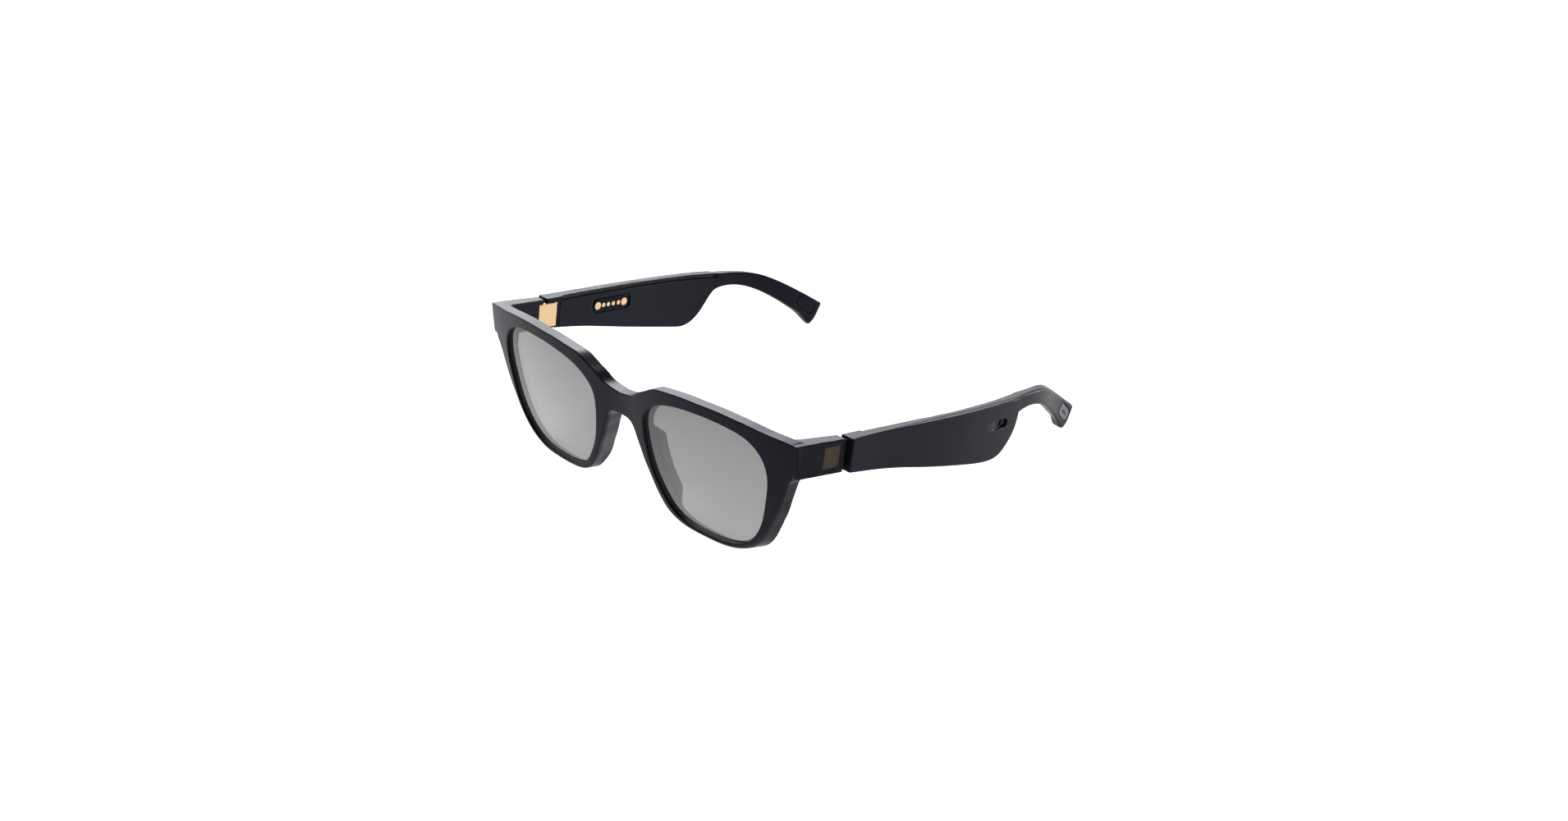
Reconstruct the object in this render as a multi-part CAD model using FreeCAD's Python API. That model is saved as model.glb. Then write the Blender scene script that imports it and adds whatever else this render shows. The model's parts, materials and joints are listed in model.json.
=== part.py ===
"""Open-ear audio glasses: a moulded front with two lenses, and two folding temples for the electronics.

Everything is drawn in the wearing frame first: +X is the wearer's left, -Y is straight ahead and +Z is
up, with the top line of the temples horizontal. The finished pieces are then turned about X so that the
rims and the temple tips stand on one plane. Left-hand pieces are drawn, and right-hand pieces are their
mirror images.
"""

import FreeCAD, Part
import math
import os

Vector = FreeCAD.Vector

# Front
FRONT_HALF_WIDTH = 72.8
FRONT_RADIUS = 172.7  # plan curve of each half of the front
CROWN_X = 24.0  # where each half of the front reaches furthest forward
CROWN_Y = -3.6
BRIDGE_BLEND_X = 7.0  # inside this, the plan curve is a hollow arc across the bridge
FACE_HEIGHT = 20.0  # the plan curve is drawn at this depth below the temples' top line
PANTOSCOPIC_SLOPE = 0.25  # how far the front leans back for each millimetre down
FRONT_THICKNESS = 4.8
CORNER_BOTTOM_Z = -10.0
LENS_RECESS = 1.25
LENS_THICKNESS = 1.8
LENS_GROOVE = 0.5
PAD_DEPTH = 8.4
FLEX_WIDTH = 1.0
FLEX_THICKNESS = 0.3
FLEX_DEPTH = 3.0

# Endpiece and hinge
ENDPIECE_END_Y = 18.9
ENDPIECE_TOP_Z = -0.2
HINGE_X = 70.5
HINGE_Y = 23.9
KNUCKLE_R = 1.2
KNUCKLE_TOP_Z = -1.8
KNUCKLE_BOTTOM_Z = -10.2
BLOCK_FRONT_Y = 16.7
ANCHOR_FRONT_Y = 10.9
ANCHOR_REAR_Y = 18.1
ANCHOR_X = (71.0, 72.7)
ANCHOR_Z = (-9.1, -1.9)
PIN_R = 0.6
PIN_RUNNING_GAP = 0.05
KNUCKLE_GAP = 0.35
EAR_GAP = 0.15
PIN_LOW_Z = -11.0
PIN_HIGH_Z = -0.95

# Temple
TEMPLE_START_Y = 20.5
COVER_START_Y = 26.4
COVER_END_Y = 100.5
WALL = 0.8
CHANNEL_DEPTH = 1.4
CHANNEL_HEIGHT = 1.5
CHANNEL_START_Y = 28.0
DUCT_Y = (78.0, 90.0)
CAVITY_TOP_Z = -2.9
MESH_THICKNESS = 0.3
SLOT_Y = (85.0, 93.2)
SLOT_Z = (-9.3, -6.3)
TIP_PLATE_LENGTH = 8.6
TIP_PLATE_HEIGHT = 4.2
TIP_PLATE_DEPTH = 0.6
TIP_PLATE_CORNER = 1.8
TIP_SLOPE_DEG = -36.0
TIP_BADGE_CENTRE = (63.33, 143.9, -17.9)
TIP_BADGE_TOE_DEG = 9.5
TIP_PLUG_CENTRE = (60.2, 140.8, -15.2)
TIP_PLUG_TOE_DEG = 13.7

# Electronics
BOARD_X = 72.65
BOARD_THICKNESS = 0.5
BOARD_Z = (-9.0, -3.2)
BOARD_START_Y = 29.5
LEFT_BOARD_END_Y = 48.0
RIGHT_BOARD_END_Y = 73.0
BATTERY_X = (73.25, 75.15)
BATTERY_Y = (51.0, 74.5)
BATTERY_Z = (-13.0, -3.6)
SPEAKER_X = 72.9
BASKET_THICKNESS = 1.5
MAGNET_THICKNESS = 0.7
GASKET_THICKNESS = 0.2
SPEAKER_Y = (76.0, 90.0)
SPEAKER_Z = (-14.6, -5.2)
BAY_CENTRE_YZ = (50.6, -6.1)
BAY_X = 71.27
BAY_TOE_DEG = -2.1
BAY_LENGTH = 18.0
BAY_HEIGHT = 5.8
PAD_LENGTH = 15.8
PAD_HEIGHT = 4.2
BAY_STEP = 0.45
FLANGE_THICKNESS = 0.5
PAD_FACE_SET_BACK = 0.1
CONTACT_SET_BACK = 0.03
CONTACT_OFFSETS = (-6.1, -3.45, -1.2, 1.15, 3.6, 6.3)
LARGE_CONTACT_R = 1.4
SMALL_CONTACT_R = 0.8
CONTACT_Z = -0.2  # from the bay's centre
STATUS_LIGHT_YZ = (70.4, -6.8)
STATUS_LIGHT_R = 0.45
BUTTON_LENGTH = 9.0
BUTTON_WIDTH = 1.8
BUTTON_HEIGHT = 1.9
BUTTON_PROUD = 0.3
BUTTON_TRAVEL = 0.35
BUTTON_CLEARANCE = 0.15
BUTTON_Y = 45.5
BUTTON_X = 73.1
BUTTON_Z = -14.0
BUTTON_SLOPE_DEG = 9.3

# The two places that each side stands on, in the wearing frame: (Y, Z)
RIM_FOOT = (8.2, -43.1)
TIP_FOOT = (144.6, -23.6)

# Limits of the construction solids
LOW_X, HIGH_X = 50.0, 85.0
LOW_Z, HIGH_Z = -60.0, 20.0
PLAN_END_X = 76.0


def spline(points):
    curve = Part.BSplineCurve()
    curve.interpolate(points)
    return curve.toShape()


def line(start, end):
    return Part.LineSegment(start, end).toShape()


def face_of(edges):
    return Part.Face(Part.Wire(Part.__sortEdges__(edges)))


def parameters(curve, count):
    """The curve's parameters at the ends of count equal steps."""
    span = curve.LastParameter - curve.FirstParameter
    return [curve.FirstParameter + span * step / count for step in range(count + 1)]


def mirrored(shape):
    return shape.mirror(Vector(0, 0, 0), Vector(1, 0, 0))


def xz(points):
    return [Vector(x, 0, z) for x, z in points]


def xy(points):
    return [Vector(x, y, 0) for x, y in points]


def yz(points):
    return [Vector(0, y, z) for y, z in points]


def box(low, high):
    size = Vector(*high) - Vector(*low)
    return Part.makeBox(size.x, size.y, size.z, Vector(*low))


def polygon(points):
    return Part.Face(Part.makePolygon(points + points[:1]))


def across_cylinder(radius, length, start):
    """A cylinder that runs along +X from its start."""
    return Part.makeCylinder(radius, length, start, Vector(1, 0, 0))


def tall(face):
    """A face in the XY plane, extruded through every height."""
    return face.translated(Vector(0, 0, LOW_Z)).extrude(Vector(0, 0, HIGH_Z - LOW_Z))


def wide(face):
    """A face in the YZ plane, extruded across the left temple."""
    return face.translated(Vector(LOW_X, 0, 0)).extrude(Vector(HIGH_X - LOW_X, 0, 0))


def rounded_plate(length, height, thickness, radius):
    """A plate across the origin, from 0 to thickness along X, with rounded corners in Y and Z."""
    plate = Part.makeBox(thickness, length, height, Vector(0, -length / 2, -height / 2))
    corners = [edge for edge in plate.Edges if abs(edge.tangentAt(edge.FirstParameter).x) > 0.9]
    return plate.makeFillet(radius, corners)


# Plan and side curves of the left temple

OUTER_HOUSING = xy(
    [(74.2, 20.5), (74.9, 32), (75.8, 46), (76.6, 62), (76.8, 72), (76.5, 84), (75.9, 94)]
    + [(75.3, 99.6)]
)
OUTER_ARM = xy(
    [(74.2, 100.6), (73.6, 106), (72.8, 111.5), (71.6, 117), (69.8, 123), (67.6, 129)]
    + [(65.5, 135), (63.9, 141), (62.3, 152)]
)
INNER_FACE = xy(
    [(69.7, 20.5), (70.3, 30), (71.0, 44), (71.6, 60), (71.8, 74), (71.6, 86), (70.9, 97), (70.0, 105)]
    + [(68.9, 112), (67.3, 118.5), (65.2, 125), (63.0, 131), (61.2, 137), (59.7, 143), (58.5, 152)]
)
TOP_EDGE = yz(
    [(20.5, -0.2), (46, -0.2), (70, -0.5), (95, -0.7), (104, -0.9), (111, -1.2)]
    + [(117, -2.1), (123, -3.8), (130, -6.6), (137, -9.9), (144, -13.5), (149.0, -16.1)]
)
BOTTOM_EDGE = yz(
    [(20.5, -10.8), (37, -12.7), (55, -15.7), (74, -18.6), (82, -19.7), (87, -19.9), (91, -18.4)]
    + [(94.5, -15.2), (97.7, -10.6), (100.6, -7.3), (104.6, -6.2), (109, -6.1), (114, -6.8)]
    + [(119, -8.3), (125, -10.9), (130, -13.6), (135, -16.7), (140, -20.2), (143.6, -23.0)]
)
TIP_END = yz(
    [(149.0, -16.1), (150.0, -17.6), (149.2, -19.0), (146.6, -23.0), (145.2, -23.9), (143.6, -23.0)]
)


def plan_band(near, far):
    """A tall solid between the inner face moved out by near and the inner face moved out by far."""
    inner = [p + Vector(near, 0, 0) for p in INNER_FACE]
    outer = [p + Vector(far, 0, 0) for p in INNER_FACE]
    edges = [spline(inner), spline(outer), line(inner[0], outer[0]), line(inner[-1], outer[-1])]
    return tall(face_of(edges))


def temple_plan(inset=0.0):
    """A tall solid with the temple's plan outline, with its outer side moved in by inset."""
    housing = [p - Vector(inset, 0, 0) for p in OUTER_HOUSING]
    arm = [p - Vector(inset, 0, 0) for p in OUTER_ARM]
    edges = [spline(INNER_FACE), spline(housing), spline(arm)]
    edges += [line(INNER_FACE[0], housing[0]), line(housing[-1], arm[0]), line(arm[-1], INNER_FACE[-1])]
    return tall(face_of(edges))


def temple_side():
    """A wide solid with the temple's side outline."""
    start = line(TOP_EDGE[0], BOTTOM_EDGE[0])
    end = [line(a, b) for a, b in zip(TIP_END[:-1], TIP_END[1:])]
    side = face_of([spline(TOP_EDGE), spline(BOTTOM_EDGE), start] + end)
    return wide(side)


def under_channel_floor(start_y, end_y):
    """Everything under the sound channel's floor, between two distances back."""
    floor = [p - Vector(0, 0, CHANNEL_HEIGHT) for p in TOP_EDGE]
    deep = [Vector(0, p.y, LOW_Z) for p in (floor[0], floor[-1])]
    side = face_of([spline(floor), line(floor[0], deep[0]), line(floor[-1], deep[1]), line(*deep)])
    return wide(side).common(box((LOW_X, start_y, LOW_Z), (HIGH_X, end_y, HIGH_Z)))


# Front

TOP_OUTLINE = xz(
    [(0, -6.2), (4.4, -5.7), (9.7, -3.1), (15.4, 0.0), (20, 1.6), (27, 2.6), (36, 3.0), (44, 3.1)]
    + [(54, 2.5), (63, 1.5), (72.8, 0.5)]
)
LOWER_OUTLINE = xz(
    [(70.2, -11.4), (68.2, -15.4), (66.6, -19.6), (63.5, -26.9), (59.7, -34.2), (56, -38.2)]
    + [(51.4, -40.8), (45.2, -42.5), (37, -43.1), (28, -42.7), (22.3, -41.4), (17.7, -38.4)]
    + [(14.1, -33.8), (10.9, -27.9), (8.4, -21.8), (6.9, -17.9), (4.4, -15.1), (0, -14.0)]
)
LENS_OPENING = xz(
    [(62.2, -12), (60.4, -6.6), (56, -2.8), (49.5, -1.1), (42.5, -0.6), (36, -0.7), (29.5, -1.3)]
    + [(23, -2.6), (16.6, -5.4), (12.6, -9.6), (11.7, -15), (12.3, -20.5), (14, -27.5)]
    + [(17.3, -33.9), (22.5, -38.6), (29, -41), (36, -41.5), (43, -41.2), (49.8, -39.0)]
    + [(55.5, -34.6), (59.3, -27.9), (61.4, -20)]
)
PAD_NOSE_SIDE = xz([(6.9, -17.9), (8.4, -21.8), (10.9, -27.9), (14.1, -33.8), (17.7, -38.4)])
PAD_LENS_SIDE = xz([(11.2, -17.2), (11.9, -21.5), (13.5, -27.6), (16.6, -33.6), (20.0, -37.6)])
FLEX_LINE = [(0, -10), (7, -8), (11.5, -4.8), (16, -2.2), (22, -0.3), (30, 0.9), (44, 1.3)]
FLEX_LINE += [(56, 0.5), (64, -1), (69, -3)]


def plan_edges(depth):
    """The front face's plan curve, moved back by depth: a wide arc each side of a hollow arc."""
    def point(x):
        fall = FRONT_RADIUS - math.sqrt(FRONT_RADIUS**2 - (abs(x) - CROWN_X) ** 2)
        return Vector(x, CROWN_Y + fall + depth, 0)

    blend = point(BRIDGE_BLEND_X)
    turn = math.asin((CROWN_X - BRIDGE_BLEND_X) / FRONT_RADIUS)
    middle = Vector(0, blend.y + BRIDGE_BLEND_X * math.tan(turn / 2), 0)
    edges = [Part.Arc(point(-BRIDGE_BLEND_X), middle, blend).toShape()]
    for side in (-1, 1):
        stations = [point(side * x) for x in (BRIDGE_BLEND_X, 40.0, PLAN_END_X)]
        edges.append(Part.Arc(*stations).toShape())
    return edges, point(-PLAN_END_X), point(PLAN_END_X)


def front_band(near, far):
    """A tall leaning solid between two depths behind the front face."""
    near_edges, near_left, near_right = plan_edges(near)
    far_edges, far_left, far_right = plan_edges(far)
    plan = face_of(near_edges + far_edges + [line(near_left, far_left), line(near_right, far_right)])
    low = Vector(0, -PANTOSCOPIC_SLOPE * (LOW_Z + FACE_HEIGHT), LOW_Z)
    rise = HIGH_Z - LOW_Z
    return plan.translated(low).extrude(Vector(0, -PANTOSCOPIC_SLOPE * rise, rise))


def through_front(face):
    """A face in the XZ plane, extruded well past both sides of the front."""
    return face.translated(Vector(0, -30, 0)).extrude(Vector(0, 60, 0))


def front_outline():
    half = [spline(TOP_OUTLINE), spline(LOWER_OUTLINE)]
    corner = xz([(FRONT_HALF_WIDTH, CORNER_BOTTOM_Z)])[0]
    half += [line(TOP_OUTLINE[-1], corner), line(corner, LOWER_OUTLINE[0])]
    return face_of(half + [mirrored(edge) for edge in half])


def lens_opening(growth=0.0):
    """The opening's face, or a larger one whose edge stands outside it by growth."""
    curve = Part.BSplineCurve()
    curve.interpolate(Points=LENS_OPENING, PeriodicFlag=True)
    if growth:
        points = []
        for station in parameters(curve, 40)[:-1]:
            along = Vector(*curve.tangent(station)[0])
            points.append(curve.value(station) + Vector(along.z, 0, -along.x) * growth)
        curve.interpolate(Points=points, PeriodicFlag=True)
    quarters = parameters(curve, 4)
    return Part.Face(Part.Wire([curve.toShape(a, b) for a, b in zip(quarters, quarters[1:])]))


def make_lens():
    grown = through_front(lens_opening(LENS_GROOVE))
    return grown.common(front_band(LENS_RECESS, LENS_RECESS + LENS_THICKNESS))


def make_nose_pad():
    ends = [line(PAD_NOSE_SIDE[0], PAD_LENS_SIDE[0]), line(PAD_NOSE_SIDE[-1], PAD_LENS_SIDE[-1])]
    strip = face_of([spline(PAD_NOSE_SIDE), spline(PAD_LENS_SIDE)] + ends)
    return through_front(strip).common(front_band(FRONT_THICKNESS - 0.3, PAD_DEPTH))


def make_endpiece():
    outer = [(65.6, 0.5), (FRONT_HALF_WIDTH, 0.5), (73.6, ENDPIECE_END_Y)]
    plan = xy(outer + [(69.4, ENDPIECE_END_Y), (69.0, 7.0)])
    inner_curve = Part.Arc(plan[4], Vector(68.0, 3.6, 0), plan[0]).toShape()
    sides = [line(a, b) for a, b in zip(plan[:4], plan[1:])]
    prism = tall(face_of(sides + [inner_curve]))
    top = [(0.5, 0.45), (ENDPIECE_END_Y, ENDPIECE_TOP_Z)]
    profile = yz(top + [(ENDPIECE_END_Y, -10.7), (0.5, CORNER_BOTTOM_Z)])
    return prism.common(wide(polygon(profile)))


def make_hinge_block():
    """The hinge's leaf: a knuckle that reaches across the joint, and an anchor buried in the endpiece."""
    half = KNUCKLE_R
    low = (HINGE_X - half, BLOCK_FRONT_Y, KNUCKLE_BOTTOM_Z)
    knuckle = box(low, (HINGE_X + half, HINGE_Y, KNUCKLE_TOP_Z))
    height = KNUCKLE_TOP_Z - KNUCKLE_BOTTOM_Z
    barrel = Part.makeCylinder(half, height, Vector(HINGE_X, HINGE_Y, KNUCKLE_BOTTOM_Z))
    anchor = box((ANCHOR_X[0], ANCHOR_FRONT_Y, ANCHOR_Z[0]), (ANCHOR_X[1], ANCHOR_REAR_Y, ANCHOR_Z[1]))
    return knuckle.fuse([barrel, anchor]).removeSplitter()


def make_hinge_pin(radius, low, high):
    return Part.makeCylinder(radius, high - low, Vector(HINGE_X, HINGE_Y, low))


def make_flex():
    """The flat cable that runs through the brow from one hinge to the other."""
    right = [(-x, z) for x, z in reversed(FLEX_LINE[1:])]
    route = right + FLEX_LINE
    upper = xz([(x, z + FLEX_WIDTH / 2) for x, z in route])
    lower = xz([(x, z - FLEX_WIDTH / 2) for x, z in route])
    ends = [line(upper[0], lower[0]), line(upper[-1], lower[-1])]
    strip = face_of([spline(upper), spline(lower)] + ends)
    return through_front(strip).common(front_band(FLEX_DEPTH, FLEX_DEPTH + FLEX_THICKNESS))


def make_front(parts):
    plate = through_front(front_outline()).common(front_band(0, FRONT_THICKNESS))
    additions = [make_endpiece(), make_nose_pad()]
    plate = plate.fuse(additions + [mirrored(piece) for piece in additions])
    opening = through_front(lens_opening())
    plate = plate.cut([opening, mirrored(opening)])
    lens = make_lens()
    block = make_hinge_block()
    flex = make_flex()
    for inset in (lens, mirrored(lens), block, mirrored(block), flex):
        plate = plate.cut(inset)
    pin = make_hinge_pin(PIN_R, PIN_LOW_Z, PIN_HIGH_Z)
    block = block.cut(pin)
    parts["front_frame"] = plate
    parts["brow_flex_cable"] = flex
    for side, place in SIDES:
        parts["lens_" + side] = place(lens)
        parts["hinge_block_" + side] = place(block)
        parts["hinge_pin_" + side] = place(pin)


# Temples


def channel_space():
    window = box((LOW_X, CHANNEL_START_Y, -8), (HIGH_X, COVER_END_Y, HIGH_Z))
    above = window.cut(under_channel_floor(TEMPLE_START_Y, TOP_EDGE[-1].y))
    return above.common(plan_band(-1.0, CHANNEL_DEPTH))


def cavity_space():
    """The hollow for the electronics, open on the inner side where the cover closes it."""
    outline = yz(
        [(28.5, CAVITY_TOP_Z), (93, CAVITY_TOP_Z), (93, -10), (90, -15.6), (86, -18.6)]
        + [(80, -18.4), (60, -15.5), (45, -13.1), (28.5, -10.7)]
    )
    return wide(polygon(outline)).common(temple_plan(WALL)).common(plan_band(WALL, HIGH_X - LOW_X))


def sound_duct():
    """The way from the cavity up to the back of the channel's mesh."""
    window = box((LOW_X, DUCT_Y[0], CAVITY_TOP_Z - 0.1), (HIGH_X, DUCT_Y[1], -1.2))
    return window.common(plan_band(CHANNEL_DEPTH, CHANNEL_DEPTH + 1.0))


def knuckle_space():
    """The notch in the temple's front end that the hinge block swings in."""
    reach = KNUCKLE_R + KNUCKLE_GAP
    low, high = KNUCKLE_BOTTOM_Z - EAR_GAP, KNUCKLE_TOP_Z + EAR_GAP
    straight = box((HINGE_X - 10, TEMPLE_START_Y - 1, low), (HINGE_X + reach, HINGE_Y, high))
    round_end = Part.makeCylinder(reach, high - low, Vector(HINGE_X, HINGE_Y, low))
    return straight.fuse(round_end)


def port_space():
    """The scooped port on the outer side: shallow in front, and deepest at its round rear end."""
    radius = (SLOT_Z[1] - SLOT_Z[0]) / 2
    middle_z = (SLOT_Z[0] + SLOT_Z[1]) / 2
    round_y = SLOT_Y[1] - radius
    stadium = box((LOW_X, SLOT_Y[0], SLOT_Z[0]), (HIGH_X, round_y, SLOT_Z[1]))
    round_end = across_cylinder(radius, HIGH_X - LOW_X, Vector(LOW_X, round_y, middle_z))
    end_y = SLOT_Y[1] + 1
    floor = [(76.5, SLOT_Y[0]), (75.5, round_y), (75.4, end_y)]
    floor += [(HIGH_X, end_y), (HIGH_X, SLOT_Y[0])]
    return stadium.fuse(round_end).common(tall(polygon(xy(floor))))


def port_hole():
    """The hole from the port's rear end into the cavity, which the port mesh fills."""
    middle_z = (SLOT_Z[0] + SLOT_Z[1]) / 2
    plate = rounded_plate(2.0, 2.0, 3.0, 0.9)
    return plate.translated(Vector(73.9, SLOT_Y[1] - 1.5, middle_z))


def tip_plate(thickness, shift, toe_deg, centre):
    """A rounded plate for a face of the tip. It starts at x = shift, and is then turned and moved."""
    plate = rounded_plate(TIP_PLATE_LENGTH, TIP_PLATE_HEIGHT, thickness, TIP_PLATE_CORNER)
    plate = plate.translated(Vector(shift, 0, 0))
    plate.rotate(Vector(0, 0, 0), Vector(1, 0, 0), TIP_SLOPE_DEG)
    plate.rotate(Vector(0, 0, 0), Vector(0, 0, 1), toe_deg)
    return plate.translated(Vector(*centre))


def tip_badge(height_above=0.0):
    """The plate let into the tip's outer face, or its pocket when it's drawn higher than the face."""
    thickness = TIP_PLATE_DEPTH + height_above
    return tip_plate(thickness, -TIP_PLATE_DEPTH, TIP_BADGE_TOE_DEG, TIP_BADGE_CENTRE)


def tip_plug(height_above=0.0):
    """The plate let into the tip's inner face, or its pocket when it's drawn higher than the face."""
    thickness = TIP_PLATE_DEPTH + height_above
    return tip_plate(thickness, -height_above, TIP_PLUG_TOE_DEG, TIP_PLUG_CENTRE)


def in_bay(shape):
    """Places a shape drawn at the contact bay's centre, with +X into the temple, on the left temple."""
    placed = shape.copy()
    placed.rotate(Vector(0, 0, 0), Vector(0, 0, 1), BAY_TOE_DEG)
    return placed.translated(Vector(BAY_X, *BAY_CENTRE_YZ))


def contact_cylinders(start, end):
    cylinders = []
    for offset in CONTACT_OFFSETS:
        radius = LARGE_CONTACT_R if abs(offset) > 5 else SMALL_CONTACT_R
        cylinders.append(across_cylinder(radius, end - start, Vector(start, offset, CONTACT_Z)))
    return in_bay(Part.makeCompound(cylinders))


def at_button(shape):
    """Places a shape drawn on the button's middle, with +Z as its travel, under the left temple."""
    placed = shape.copy()
    placed.rotate(Vector(0, 0, 0), Vector(1, 0, 0), -BUTTON_SLOPE_DEG)
    return placed.translated(Vector(BUTTON_X, BUTTON_Y, BUTTON_Z))


def button_prism(growth, low, high):
    """The button's racetrack outline between two heights."""
    length, width = BUTTON_LENGTH + 2 * growth, BUTTON_WIDTH + 2 * growth
    prism = Part.makeBox(width, length, high - low, Vector(-width / 2, -length / 2, low))
    upright = [e for e in prism.Edges if abs(e.tangentAt(e.FirstParameter).z) > 0.9]
    return at_button(prism.makeFillet(width / 2 - 0.05, upright))


def make_board(end_y):
    """A circuit board with two chips on its outer side."""
    back = BOARD_X + BOARD_THICKNESS
    board = box((BOARD_X, BOARD_START_Y, BOARD_Z[0]), (back, end_y, BOARD_Z[1]))
    chips = [box((back, 33, -8), (back + 0.8, 38, -4)), box((back, 41, -7.5), (back + 0.7, 44, -4.5))]
    return board.fuse(chips)


def make_speaker(parts, side, place):
    length, height = SPEAKER_Y[1] - SPEAKER_Y[0], SPEAKER_Z[1] - SPEAKER_Z[0]
    centre = Vector(SPEAKER_X, sum(SPEAKER_Y) / 2, sum(SPEAKER_Z) / 2)
    basket = rounded_plate(length, height, BASKET_THICKNESS, 3.5)
    magnet = rounded_plate(length * 0.6, height * 0.6, MAGNET_THICKNESS, 2.0)
    driver = basket.fuse(magnet.translated(Vector(BASKET_THICKNESS, 0, 0)))
    gasket = rounded_plate(length, height, GASKET_THICKNESS, 3.5)
    gasket = gasket.cut(rounded_plate(length - 3, height - 3, GASKET_THICKNESS, 2.2))
    parts["speaker_driver_" + side] = place(driver.translated(centre))
    parts["speaker_gasket_" + side] = place(gasket.translated(centre - Vector(GASKET_THICKNESS, 0, 0)))


def make_temple(parts, side, place):
    """The pieces that both temples have."""
    blank = temple_side().common(temple_plan())
    cover_region = under_channel_floor(COVER_START_Y, COVER_END_Y).common(plan_band(-1.0, WALL))
    cover = blank.common(cover_region)
    channel = channel_space()
    cuts = [cover_region, channel, cavity_space(), sound_duct(), knuckle_space(), port_space(), port_hole()]
    cuts.append(make_hinge_pin(PIN_R + PIN_RUNNING_GAP, LOW_Z, PIN_HIGH_Z + PIN_RUNNING_GAP))
    cuts += [tip_badge(3.0), tip_plug(3.0)]
    shell = blank.cut(cuts)
    mesh_band = plan_band(CHANNEL_DEPTH - MESH_THICKNESS, CHANNEL_DEPTH)
    port_mesh = port_hole().common(temple_plan(WALL)).common(box((74.9, 80, -15), (HIGH_X, 99, 0)))
    if side == "left":
        parts["inner_cover_left"] = place(cover)
        parts["temple_shell_left"] = place(shell)
        board_end = LEFT_BOARD_END_Y
    else:
        make_right_only(parts, cover, shell, place)
        board_end = RIGHT_BOARD_END_Y
    parts["circuit_board_" + side] = place(make_board(board_end))
    low, high = zip(BATTERY_X, BATTERY_Y, BATTERY_Z)
    parts["battery_" + side] = place(box(low, high))
    make_speaker(parts, side, place)
    parts["speaker_mesh_" + side] = place(channel.common(mesh_band).common(blank))
    parts["port_mesh_" + side] = place(port_mesh)
    parts["tip_badge_" + side] = place(tip_badge())
    parts["tip_plug_" + side] = place(tip_plug())


def make_right_only(parts, cover, shell, place):
    """The charging contacts, status light, microphone and button, which only the right temple has."""
    bay = in_bay(rounded_plate(BAY_LENGTH, BAY_HEIGHT, 4, 2.0).translated(Vector(-2, 0, 0)))
    flange = rounded_plate(BAY_LENGTH, BAY_HEIGHT, FLANGE_THICKNESS, 2.0)
    flange = flange.translated(Vector(BAY_STEP, 0, 0))
    flange_end = BAY_STEP + FLANGE_THICKNESS
    pad = rounded_plate(PAD_LENGTH, PAD_HEIGHT, flange_end - PAD_FACE_SET_BACK, 1.9)
    pad = pad.translated(Vector(PAD_FACE_SET_BACK, 0, 0))
    light = across_cylinder(STATUS_LIGHT_R, 4, Vector(70, *STATUS_LIGHT_YZ)).common(cover)
    contacts = contact_cylinders(PAD_FACE_SET_BACK + CONTACT_SET_BACK, flange_end)
    parts["inner_cover_right"] = place(cover.cut([bay, light]))
    parts["temple_shell_right"] = place(shell.cut(button_prism(BUTTON_CLEARANCE, -3, 3)))
    parts["contact_carrier"] = place(in_bay(flange.fuse(pad)).cut(contact_cylinders(-1, 3)))
    parts["charging_contacts"] = place(contacts)
    parts["status_light"] = place(light)
    back = BOARD_X + BOARD_THICKNESS
    parts["microphone"] = place(box((back, 29.8, -8), (back + 0.7, 32.4, -5.5)))
    button_top = BUTTON_HEIGHT - BUTTON_PROUD
    parts["control_button"] = place(button_prism(0, -BUTTON_PROUD, button_top))
    switch_bottom = button_top + BUTTON_TRAVEL + 0.1
    parts["button_switch"] = place(at_button(box((-0.7, -1.7, switch_bottom), (0.7, 1.7, 4.4))))


def same(shape):
    return shape.copy()


SIDES = (("left", same), ("right", mirrored))


def stand_up(parts):
    """Turns the pieces so that the rims and the tips stand on one plane, centred over the origin."""
    run = TIP_FOOT[0] - RIM_FOOT[0]
    rise = TIP_FOOT[1] - RIM_FOOT[1]
    turn = math.degrees(math.atan2(rise, run))
    for shape in parts.values():
        shape.rotate(Vector(0, 0, 0), Vector(1, 0, 0), -turn)
    bounds = Part.makeCompound(list(parts.values())).optimalBoundingBox(False)
    shift = Vector(0, -(bounds.YMin + bounds.YMax) / 2, -bounds.ZMin)
    for shape in parts.values():
        shape.translate(shift)
    return FreeCAD.Placement(shift, FreeCAD.Rotation(Vector(1, 0, 0), -turn))


def main():
    parts = {}
    make_front(parts)
    for side, place in SIDES:
        make_temple(parts, side, place)
    placement = stand_up(parts)
    os.makedirs("parts", exist_ok=True)
    for name, shape in parts.items():
        shape.exportStep("parts/" + name + ".step")
        print(name, len(shape.Solids), round(shape.Volume, 2), shape.isValid())
    print("tilt and shift:", placement)
    for name, point in (("hinge", (HINGE_X, HINGE_Y, -6.0)), ("button", (-BUTTON_X, BUTTON_Y, BUTTON_Z))):
        print(name, placement.multVec(Vector(*point)))


main()
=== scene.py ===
"""Looks for the open-ear audio glasses: smooth moulded pieces, materials, light and camera.

The moulded pieces are drawn as implicit fields in millimetres, in the wearing frame that part.py uses: +X
is the wearer's left, -Y is straight ahead, +Z is up and the temples' top line is horizontal. A field is
negative inside the piece. Left pieces are drawn and right pieces are mirrored. Then all of it is turned and
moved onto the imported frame, whose left hinge gives the tilt and the shift.
"""

import json
import math

import bpy
import numpy as np
from mathutils import Matrix, Vector


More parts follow.
